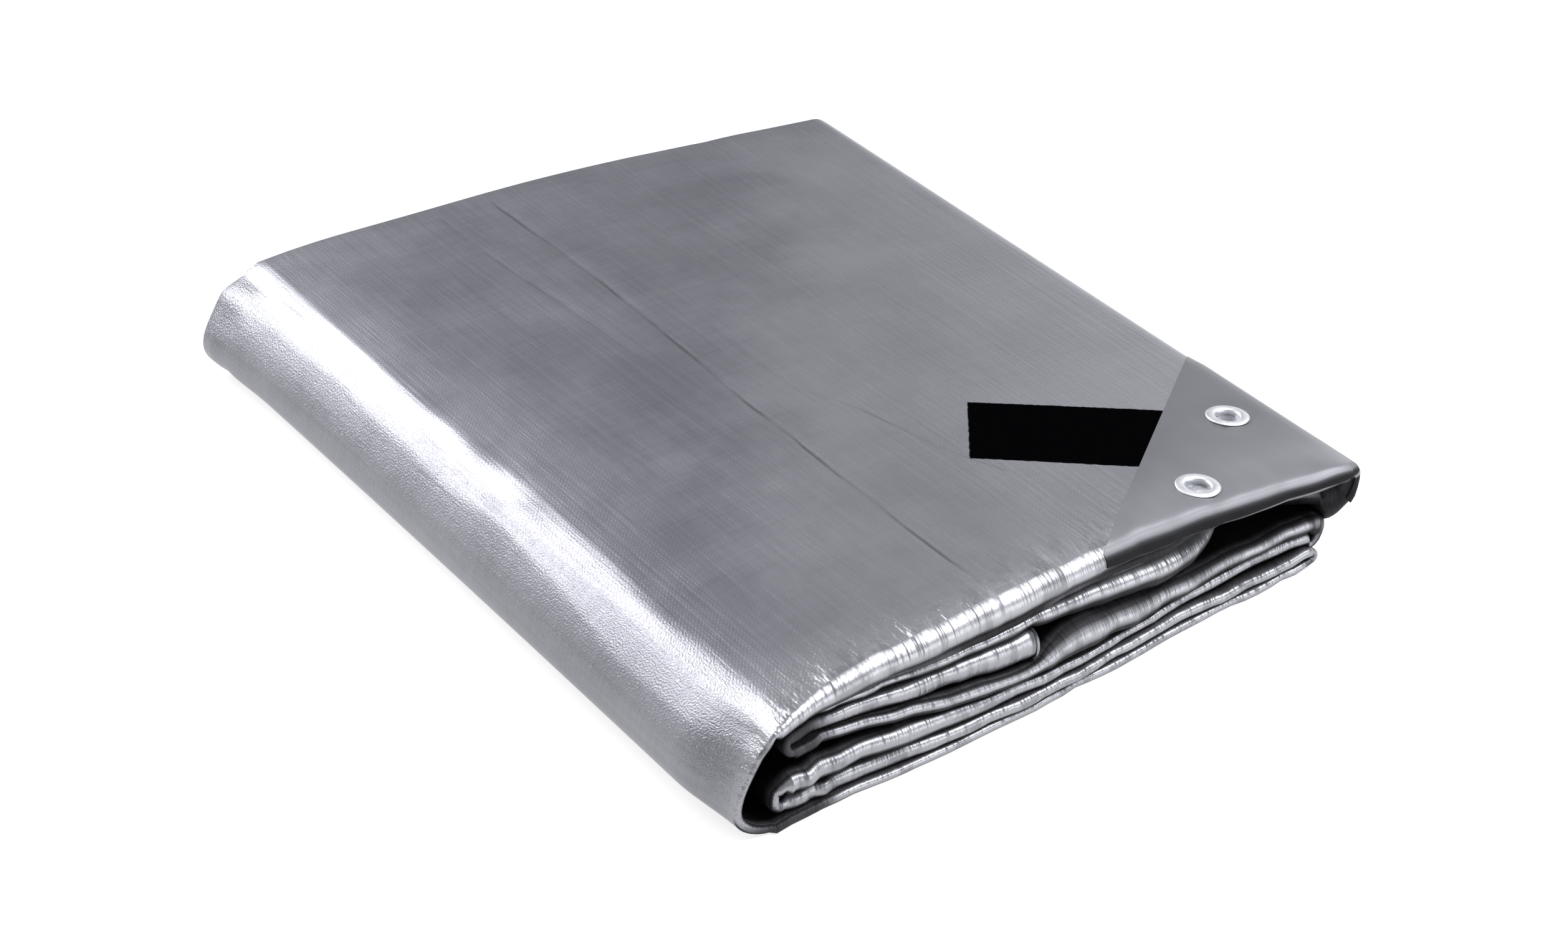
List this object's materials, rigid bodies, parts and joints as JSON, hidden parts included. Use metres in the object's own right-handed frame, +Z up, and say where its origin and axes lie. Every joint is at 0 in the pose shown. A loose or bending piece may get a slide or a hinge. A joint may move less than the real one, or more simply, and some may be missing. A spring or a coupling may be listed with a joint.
{
  "type": "folded tarp",
  "caption": "Flat packet of coated tarpaulin: one sheet folded back and forth inside a rounded wrap, with a corner patch and open metal eyelets.",
  "frame": {"origin": "on the ground under the middle of the packet", "axes": "+Y along the rounded spine, from the stacked fold ends to the far end; +X across the packet, away from the spine; +Z up out of the top face"},
  "size_m": [0.3734, 0.4834, 0.0592],
  "materials": {
    "silver_cloth": "silver-grey coated woven sheet, satin sheen",
    "patch_film": "smooth welded film, a little lighter than the cloth",
    "eyelet_metal": "pressed bright aluminium"
  },
  "bodies": {
    "root": {"tarp": "silver_cloth", "corner_patch": "patch_film", "eyelet_side": "eyelet_metal", "eyelet_front": "eyelet_metal"}
  },
  "joints": []
}
